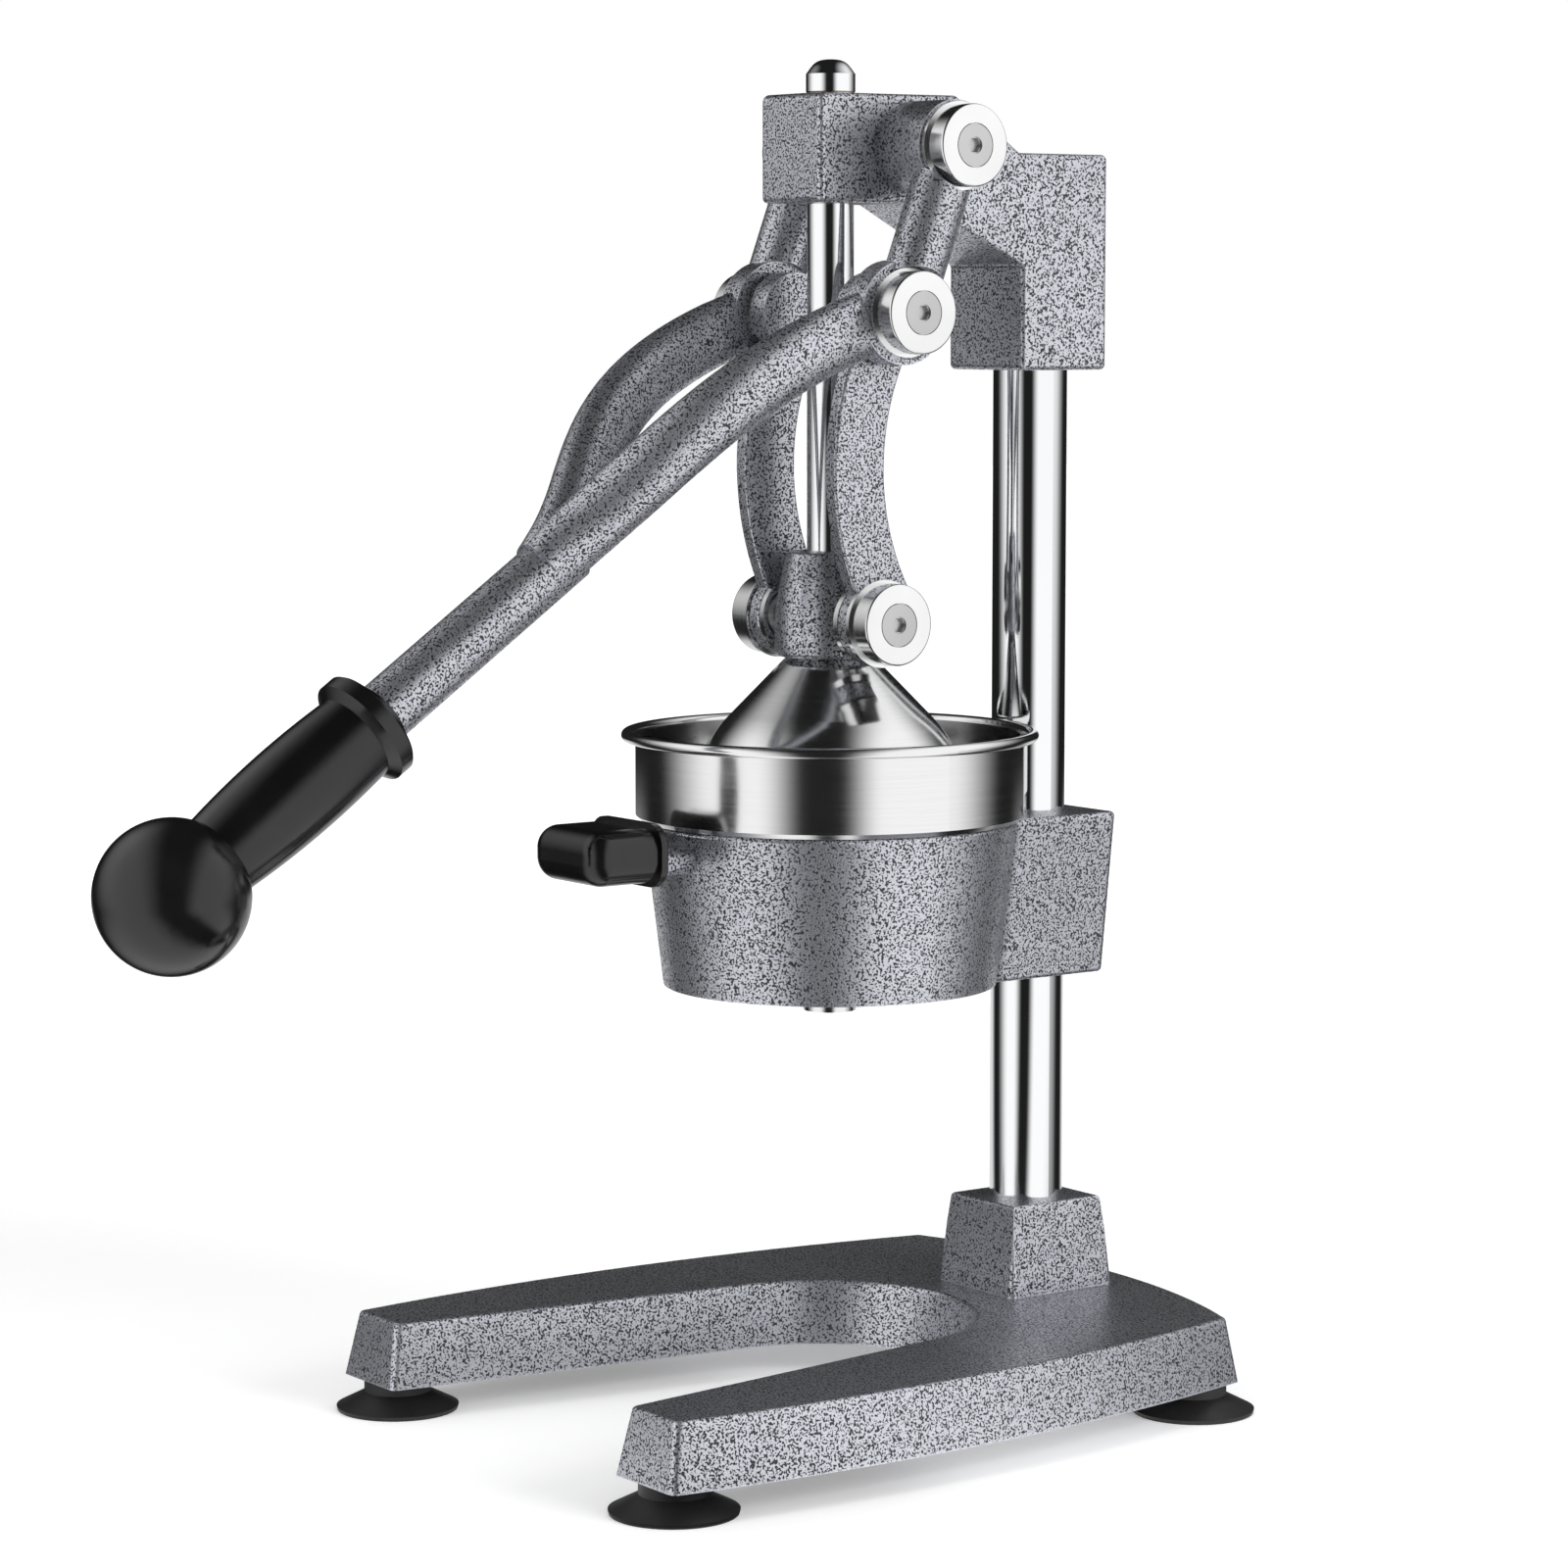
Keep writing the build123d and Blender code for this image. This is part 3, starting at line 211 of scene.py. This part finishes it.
def hammered(name, light, pit, metal=0.88, rough=0.31, depth=0.00007):
    """Hammered enamel: light silver paint round small pits, whose dark colour is partly painted shade."""
    material, shader = new_material(name, Metallic=metal)
    flat = along_edges(material, EDGE_R)
    spots = noise(material, PIT_SCALE, detail=0.4, distortion=0.3)
    sparkle = noise(material, SPARKLE_SCALE, detail=2.0, roughness=0.7)
    broad = noise(material, BROAD_SCALE, detail=3.0)
    islands = ramp(material, spots, [(PIT_CUT[0], grey(0)), (PIT_CUT[1], grey(1))])
    islands = mix(material, flat, grey(1), islands)
    # the dark pit colour is partly the paint's own and partly painted shade for the depth of the pits
    shade = mix(material, islands, tinted(pit), tinted(light))
    # painted highlight: the colour is made lighter along the edges
    shade = mix(material, flat, tinted(light * EDGE_HIGHLIGHT_GAIN), shade)
    fine = ramp(material, sparkle, [(0.3, grey(0.86)), (0.72, grey(1.12))])
    slow = ramp(material, broad, [(0.3, grey(0.92)), (0.7, grey(1.05))])
    shade = mix(material, 1.0, shade, fine, "MULTIPLY")
    shade = mix(material, 1.0, shade, slow, "MULTIPLY")
    # painted shade: the paint is darkened in tight corners between parts
    shade = mix(material, 1.0, shade, painted_corner_shade(material, SHADE_REACH, SHADE_TONE), "MULTIPLY")
    join(material, shade, shader.inputs["Base Color"])
    gloss = ramp(material, islands, [(0.0, grey(rough + PIT_GLOSS_LOSS)), (1.0, grey(rough))])
    join(material, gloss, shader.inputs["Roughness"])
    relief = mix(material, 0.12, islands, sparkle)
    bump(material, shader, relief, depth)
    return material


enamel = hammered("hammered_enamel", light=0.60, pit=0.07)
CASTINGS = ["base_casting", "head_casting", "bowl_holder", "lever_fork", "press_hub", *both("link")]
paint(enamel, *CASTINGS, *both("pivot_spacer"))
print("hammered enamel on", sum(1 for n in nodes.values() if n.data.materials[0] == enamel), "pieces")

# %% [markdown]
# ## Chrome
# Column, rod and rod cap are ground and chromed. Chrome is a mirror, so nearly all of its look
# comes from what stands around it. Two details keep it from looking computed: a faint haze that
# changes along the bar, and grinding marks round it that are far finer than they are deep.

# %% Chrome
chrome, chrome_shader = new_material("chrome_plate", Metallic=1.0)
haze = noise(chrome, 9.0, detail=3.0)
gloss = ramp(chrome, haze, [(0.3, grey(0.055)), (0.75, grey(0.11))])
join(chrome, gloss, chrome_shader.inputs["Roughness"])
tint = ramp(chrome, noise(chrome, 5.0), [(0.3, (0.80, 0.81, 0.82, 1)), (0.7, (0.86, 0.865, 0.87, 1))])
join(chrome, tint, chrome_shader.inputs["Base Color"])
grinding = noise(chrome, 1.0, detail=2.0, vector=stretched(chrome, (40, 40, 2600)))
bump(chrome, chrome_shader, grinding, 0.000004)
paint(chrome, "column", "press_rod", "rod_end_cap")
print("chrome ready")

# %% [markdown]
# ## Turned and polished steel
# The caps on the pivots are turned from bar and polished. A lathe leaves lines round the axis
# of turning, which here is X for every cap, pin and ring, so the lines are noise squeezed along
# X: it changes fast along the axis and slowly round it. The steel is almost white, and the
# lines only break up the reflection.

# %% Turned steel
TURNING = (1500, 30, 30)   # noise bumps per metre along the axis of turning and across it


def turned_steel(name, light, rough, line_depth):
    """Steel turned round an axis along X, with fine lines round its sides."""
    material, shader = new_material(name, Metallic=1.0)
    broad = noise(material, 30.0, detail=2.0)
    tone = ramp(material, broad, [(0.3, grey(light * 0.94)), (0.7, grey(light * 1.03))])
    join(material, tone, shader.inputs["Base Color"])
    lines = noise(material, 1.0, detail=3.0, vector=stretched(material, TURNING))
    gloss = ramp(material, lines, [(0.25, grey(rough * 0.8)), (0.75, grey(rough * 1.25))])
    join(material, gloss, shader.inputs["Roughness"])
    bump(material, shader, lines, line_depth)
    return material


cap_steel = turned_steel("polished_cap_steel", 0.82, 0.16, 0.00001)
disc_steel = turned_steel("satin_disc_steel", 0.55, 0.34, 0.00001)
plain_steel = turned_steel("plain_turned_steel", 0.62, 0.30, 0.00002)
paint(cap_steel, *both("pivot_cap"), *both("knee_cap"), *both("ankle_cap"))
paint(cap_steel, *both("ankle_ring"), *both("knee_ring"))
paint(disc_steel, "pivot_cap_screws", "knee_cap_screws", "ankle_cap_screws")
paint(
    plain_steel, "pivot_shaft", "hub_cross_pin", "foot_studs", "column_washer", "column_bolt", "cone_nut",
    *both("knee_pin"), *both("ankle_pin"), *both("trunnion_collar"),
)
print("steel finishes ready")

# %% [markdown]
# ## Spun stainless steel
# Cone, cup, reamer and funnel are spun or pressed from stainless sheet and polished on a lathe.
# The polish leaves lines round the Z axis, and those lines stretch every highlight across
# themselves: on the cone they become rays from its tip. An anisotropic shader does exactly this
# once its tangent runs round Z, which Blender's radial Tangent node gives.

# %% Spun stainless


def spun_stainless(name, light, rough, stretch):
    """Stainless steel polished round the Z axis."""
    material, shader = new_material(name, Metallic=1.0, Anisotropic=stretch)
    tangent = add_node(material, "ShaderNodeTangent", direction_type="RADIAL", axis="Z")
    join(material, tangent.outputs["Tangent"], shader.inputs["Tangent"])
    lines = noise(material, 1.0, detail=3.0, roughness=0.6, vector=stretched(material, (25, 25, 2400)))
    tone = ramp(material, lines, [(0.25, grey(light * 0.97)), (0.75, grey(light * 1.02))])
    join(material, tone, shader.inputs["Base Color"])
    gloss = ramp(material, lines, [(0.3, grey(rough * 0.9)), (0.7, grey(rough * 1.15))])
    join(material, gloss, shader.inputs["Roughness"])
    bump(material, shader, lines, 0.000002)
    return material


spun = spun_stainless("spun_stainless", 0.76, 0.13, 0.5)
paint(spun, "press_cone", "strainer_cup", "reamer_cone", "juice_funnel")
print("stainless ready")

# %% [markdown]
# ## Black pieces
# The grips are moulded in glossy black plastic, with the slight orange-peel of a mould that is
# no longer new. The feet are rubber: just as dark, but matt and dusty in the hollows. The set
# screws are oiled black steel.

# %% Black plastic, rubber and oiled steel


def black_finish(name, dark, pale, rough_low, rough_high, grain, depth, **settings):
    """A dark finish with a faint change of shade, uneven gloss and a fine grain."""
    material, shader = new_material(name, **settings)
    patches = noise(material, 22.0, detail=4.0, roughness=0.6)
    shade = ramp(material, patches, [(0.35, grey(dark)), (0.75, grey(pale))])
    join(material, shade, shader.inputs["Base Color"])
    smears = noise(material, 60.0, detail=3.0)
    gloss = ramp(material, smears, [(0.3, grey(rough_low)), (0.7, grey(rough_high))])
    join(material, gloss, shader.inputs["Roughness"])
    bump(material, shader, noise(material, grain, detail=2.0), depth)
    return material


grip_black = black_finish("moulded_black_grip", 0.004, 0.009, 0.12, 0.20, 420.0, 0.00002)
foot_rubber = black_finish("black_foot_rubber", 0.008, 0.017, 0.42, 0.60, 1500.0, 0.00004)
oiled_black = black_finish("oiled_black_steel", 0.02, 0.04, 0.30, 0.45, 900.0, 0.00002, Metallic=1.0)
paint(grip_black, "handle_grip", "holder_grip")
paint(foot_rubber, *[name for name in nodes if name.startswith("suction_foot_")])
paint(oiled_black, "head_set_screws", "clamp_set_screws", "hub_set_screw")
print("black finishes ready")

# %% [markdown]
# ## Bronze bushes
# The bushes are plain bronze, worn bright where they run and browner where they do not. They
# hardly show, but they are there when the press is looked at from above or with the lever up.

# %% Bronze
bronze, bronze_shader = new_material("bearing_bronze", Metallic=1.0)
stain = noise(bronze, 160.0, detail=4.0, roughness=0.65)
bronze_tone = ramp(bronze, stain, [(0.3, (0.30, 0.17, 0.07, 1)), (0.7, (0.55, 0.36, 0.16, 1))])
join(bronze, bronze_tone, bronze_shader.inputs["Base Color"])
bronze_gloss = ramp(bronze, stain, [(0.3, grey(0.45)), (0.7, grey(0.28))])
join(bronze, bronze_gloss, bronze_shader.inputs["Roughness"])
bump(bronze, bronze_shader, stain, 0.00002)
paint(bronze, "rod_bush_upper", "rod_bush_lower", *both("lever_bush"), *both("link_bush"))
print("bronze ready")

# %% [markdown]
# ## The studio
# The press stands on a white floor in a white room. The floor's paint is lifted for the camera
# alone, a little beside the press, where its shadow falls, and more farther away, where the lamps
# do not reach: so the floor melts into the white behind it.
# Lamps light the matt side of every finish from the right and, more weakly, from the left and
# from above and behind.

# %% Floor and white room
FLOOR_HALF = 6.0
NEAR_LIFT, FAR_LIFT = 0.24, 0.62       # emission beside the press and far from it
LIFT_SPAN = (0.30, 1.3)                # metres from the press between which it grows
corners = [(-FLOOR_HALF, -FLOOR_HALF, 0), (FLOOR_HALF, -FLOOR_HALF, 0), (FLOOR_HALF, FLOOR_HALF, 0)]
corners.append((-FLOOR_HALF, FLOOR_HALF, 0))
floor_mesh = bpy.data.meshes.new("studio_floor")
floor_mesh.from_pydata(corners, [], [(0, 1, 2, 3)])
floor = bpy.data.objects.new("studio_floor", floor_mesh)
bpy.context.scene.collection.objects.link(floor)
floor_white, floor_shader = new_material("floor_white", Roughness=0.9)
floor_shader.inputs["Base Color"].default_value = grey(0.92)
floor_shader.inputs["Emission Color"].default_value = grey(1.0)


def calc(material, operation, first, second):
    """A Math node; each of its two inputs may be a socket or a number."""
    node = add_node(material, "ShaderNodeMath", operation=operation)
    for socket, value in zip(node.inputs, (first, second)):
        if hasattr(value, "links"):
            join(material, value, socket)
        else:
            socket.default_value = value
    return node.outputs[0]


def seen_directly(material):
    """1 for rays of the camera, of a mirror or through glass, 0 for the others."""
    path = add_node(material, "ShaderNodeLightPath")
    either = calc(material, "MAXIMUM", path.outputs["Is Camera Ray"], path.outputs["Is Glossy Ray"])
    return calc(material, "MAXIMUM", either, path.outputs["Is Transmission Ray"])


def eased(material, value, span, first, last):
    """A smooth step from one value to another while the input crosses a span."""
    node = add_node(material, "ShaderNodeMapRange", interpolation_type="SMOOTHSTEP")
    for socket, number in zip(node.inputs[1:5], (*span, first, last)):
        socket.default_value = number
    join(material, value, node.inputs["Value"])
    return node.outputs["Result"]


from_press = add_node(floor_white, "ShaderNodeVectorMath", operation="LENGTH")
join(floor_white, add_node(floor_white, "ShaderNodeTexCoord").outputs["Object"], from_press.inputs[0])
floor_lift = eased(floor_white, from_press.outputs["Value"], LIFT_SPAN, NEAR_LIFT, FAR_LIFT)
join(floor_white, calc(floor_white, "MULTIPLY", seen_directly(floor_white), floor_lift),
     floor_shader.inputs["Emission Strength"])
floor_mesh.materials.append(floor_white)

ROOM_LIGHT = 0.55          # what the room gives to matt surfaces; the camera sees it as 1, white
room = bpy.data.worlds.new("white_room")
bpy.context.scene.world = room
room.use_nodes = True
background = room.node_tree.nodes["Background"]
background.inputs["Color"].default_value = grey(1.0)
# the helpers need only a node tree, and a world has one too
lift = calc(room, "MULTIPLY", seen_directly(room), 1 - ROOM_LIGHT)
join(room, calc(room, "ADD", lift, ROOM_LIGHT), background.inputs["Strength"])
print("floor and room ready")

# %% Lamps


def toward(angle, distance, height):
    """A point round the press: angle in degrees to the right of the camera, seen from above."""
    bearing = math.radians(CAMERA_AZIMUTH + angle)
    return Vector((distance * math.sin(bearing), -distance * math.cos(bearing), height))


def softbox(name, place, aim, size, watts):
    """A rectangular lamp that faces a point and does not show in mirrors."""
    data = bpy.data.lights.new(name, "AREA")
    data.shape = "RECTANGLE"
    data.size, data.size_y = size
    data.energy = watts
    light = bpy.data.objects.new(name, data)
    light.location = place
    light.rotation_euler = (Vector(aim) - place).to_track_quat("-Z", "Y").to_euler()
    light.visible_glossy = False
    bpy.context.scene.collection.objects.link(light)


MIDDLE = (0, 0, 0.2)
softbox("key_right", toward(55, 1.5, 0.55), MIDDLE, (0.7, 1.1), 18)
softbox("fill_left", toward(-60, 1.6, 0.45), MIDDLE, (0.6, 1.1), 10)
softbox("top_light", toward(150, 0.5, 1.7), MIDDLE, (1.0, 1.0), 5)

# %% [markdown]
# ## What the metal sees
# Chrome, polished steel and glossy enamel show the room around them, and a plain white room
# makes them look like plaster. A photographer of metal stands a tall light panel on each side
# and leaves the rest dark: the camera stands in the dark gap between the panels, and that gap
# becomes the dark line down the middle of every round bar. Here that room is a dome and a disc
# on the floor which only reflections see, so they take nothing from the white background.
#
# Its light is written with three numbers for the direction that a reflection looks in: how far
# to the right of the camera, how far toward the camera, and how far up. Each panel begins a
# little to the side, and ends behind the press, farther back the higher it reaches. A low band
# behind the press stands for the white wall that glancing reflections pick up.

# %% The reflected room
PANEL_LIGHT = 1.15
RIGHT_PANEL = (0.10, 0.50)     # distance to the right over which the right panel begins
LEFT_PANEL = (0.26, 0.68)
REAR_PANEL = (-0.35, 0.47)     # distance toward the camera, plus the lean, over which both end
PANEL_LEAN = 0.69
WALL_LIGHT = 0.8
WALL_FROM = (-0.90, -0.60)     # distance toward the camera over which the rear wall ends
WALL_TOP = (0.02, 0.15)
DARK = 0.014
DOME_R = 0.8


def reflected_room(name):
    """An emitting material whose brightness depends on the direction from the middle of the press."""
    material = bpy.data.materials.new(name)
    material.use_nodes = True
    material.node_tree.nodes.clear()
    direction = add_node(material, "ShaderNodeVectorMath", operation="NORMALIZE")
    join(material, add_node(material, "ShaderNodeTexCoord").outputs["Object"], direction.inputs[0])
    parts = add_node(material, "ShaderNodeSeparateXYZ")
    join(material, direction.outputs[0], parts.inputs[0])
    toward_camera, to_right, up = parts.outputs
    right = eased(material, to_right, RIGHT_PANEL, 0, PANEL_LIGHT)
    left = eased(material, calc(material, "MULTIPLY", to_right, -1), LEFT_PANEL, 0, PANEL_LIGHT)
    lean = calc(material, "MULTIPLY", up, PANEL_LEAN)
    rear = eased(material, calc(material, "ADD", toward_camera, lean), REAR_PANEL, 0, 1)
    panels = calc(material, "MULTIPLY", calc(material, "ADD", right, left), rear)
    wall = calc(material, "MULTIPLY", eased(material, toward_camera, WALL_FROM, WALL_LIGHT, 0),
                eased(material, up, WALL_TOP, 1, 0))
    light = calc(material, "ADD", calc(material, "ADD", panels, wall), DARK)
    glow = add_node(material, "ShaderNodeEmission")
    join(material, light, glow.inputs["Strength"])
    result = add_node(material, "ShaderNodeOutputMaterial")
    join(material, glow.outputs[0], result.inputs["Surface"])
    return material


def only_in_mirrors(name, points, faces, material):
    """A stage object that the camera, matt surfaces and shadows ignore, turned to face the camera."""
    mesh = bpy.data.meshes.new(name)
    mesh.from_pydata(points, [], faces)
    mesh.materials.append(material)
    piece = bpy.data.objects.new(name, mesh)
    piece.rotation_euler = (0, 0, math.radians(CAMERA_AZIMUTH - 90))
    bpy.context.scene.collection.objects.link(piece)
    piece.visible_camera = False
    piece.visible_diffuse = False
    piece.visible_shadow = False
    piece.visible_transmission = False


DOME_RINGS, DOME_SPOKES = 24, 96
DISC_Z = 0.0004
dome_points = [(0, 0, DOME_R)]
for i in range(1, DOME_RINGS + 1):
    polar = math.pi / 2 * i / DOME_RINGS
    for j in range(DOME_SPOKES):
        turn = 2 * math.pi * j / DOME_SPOKES
        flat = DOME_R * math.sin(polar)
        dome_points.append((flat * math.cos(turn), flat * math.sin(turn), DOME_R * math.cos(polar)))
dome_faces = [(0, 1 + j, 1 + (j + 1) % DOME_SPOKES) for j in range(DOME_SPOKES)]
for i in range(DOME_RINGS - 1):
    for j in range(DOME_SPOKES):
        a, b = 1 + i * DOME_SPOKES + j, 1 + i * DOME_SPOKES + (j + 1) % DOME_SPOKES
        dome_faces.append((a, a + DOME_SPOKES, b + DOME_SPOKES, b))
reflected = reflected_room("reflected_room")
only_in_mirrors("reflected_dome", dome_points, dome_faces, reflected)
disc_points = [(DOME_R * math.cos(t), DOME_R * math.sin(t), DISC_Z)
               for t in (2 * math.pi * j / DOME_SPOKES for j in range(DOME_SPOKES))]
only_in_mirrors("reflected_disc", disc_points, [tuple(range(DOME_SPOKES))], reflected)
print("dome radius", DOME_R, "m, panels of", PANEL_LIGHT)
